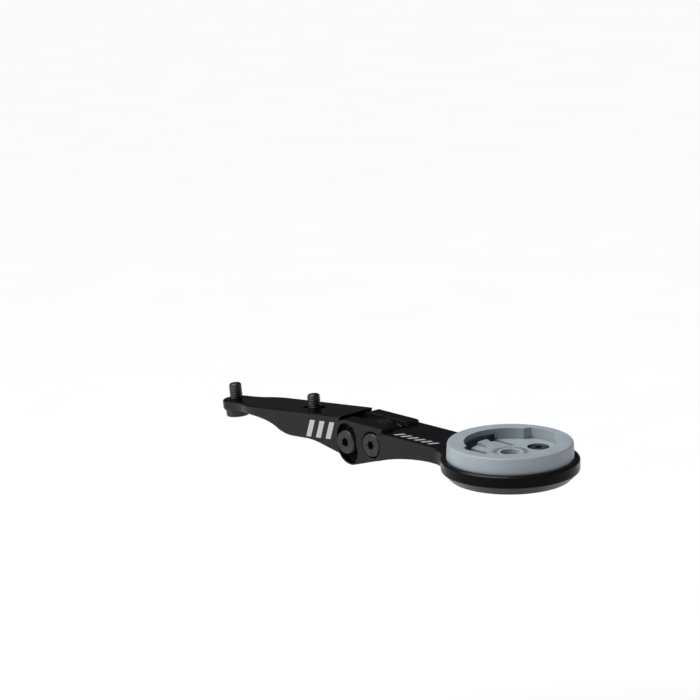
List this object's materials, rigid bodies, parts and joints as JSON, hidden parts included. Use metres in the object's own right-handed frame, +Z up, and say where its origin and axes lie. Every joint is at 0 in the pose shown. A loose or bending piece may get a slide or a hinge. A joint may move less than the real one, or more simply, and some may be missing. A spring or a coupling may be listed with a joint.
{
  "type": "cycling computer mount",
  "caption": "Out-front cycling computer mount: slim black bracket that bolts under a one-piece handlebar, tilting arm and round cup holding a grey quarter-turn seat.",
  "frame": {"origin": "a point on the base bracket's flat bolting face, on its centreline, 25.5 mm behind the front edge of that face as drawn before the hinge shoulder is cut", "axes": "+X forward along the mount towards the computer seat, +Y to the bike's left, +Z up out of the flat bolting face towards the handlebar"},
  "size_m": [0.139, 0.0398, 0.0204],
  "materials": {
    "black_anodised": "satin black anodised, bead blasted after machining",
    "black_steel": "black oxide steel",
    "bright_steel": "plain turned steel",
    "grey_plastic": "moulded grey plastic, fine satin texture",
    "nylon": "black nylon sheet"
  },
  "bodies": {
    "base": {"base_bracket": "black_anodised", "rear_bar_bolt": "black_steel", "rear_bar_washer": "black_steel", "front_bar_bolt": "black_steel", "front_bar_washer": "black_steel", "lock_screw": "black_steel", "lock_washer": "black_steel", "lock_slider_nut": "black_steel"},
    "tilting_arm": {"arm": "black_anodised", "pivot_screw": "black_steel", "pivot_nut": "black_steel", "pivot_sleeve": "bright_steel", "friction_washer_right": "nylon", "friction_washer_left": "nylon", "insert": "grey_plastic", "insert_screw_left": "black_steel", "insert_screw_right": "black_steel"},
    "detent": {"detent_tongue": "grey_plastic"}
  },
  "joints": [
    {"name": "tilt", "type": "hinge", "parent": "base", "child": "tilting_arm", "pos_m": [0.0396, 0, -0.0072], "axis": [0, 1, 0], "range_deg": [-9, 12]},
    {"name": "detent_spring", "type": "hinge", "parent": "tilting_arm", "child": "detent", "pos_m": [0.08399, 0, -0.00666], "axis": [0, -1, 0], "range_deg": [0, 6], "stiffness_Nm_per_rad": 0.28}
  ]
}
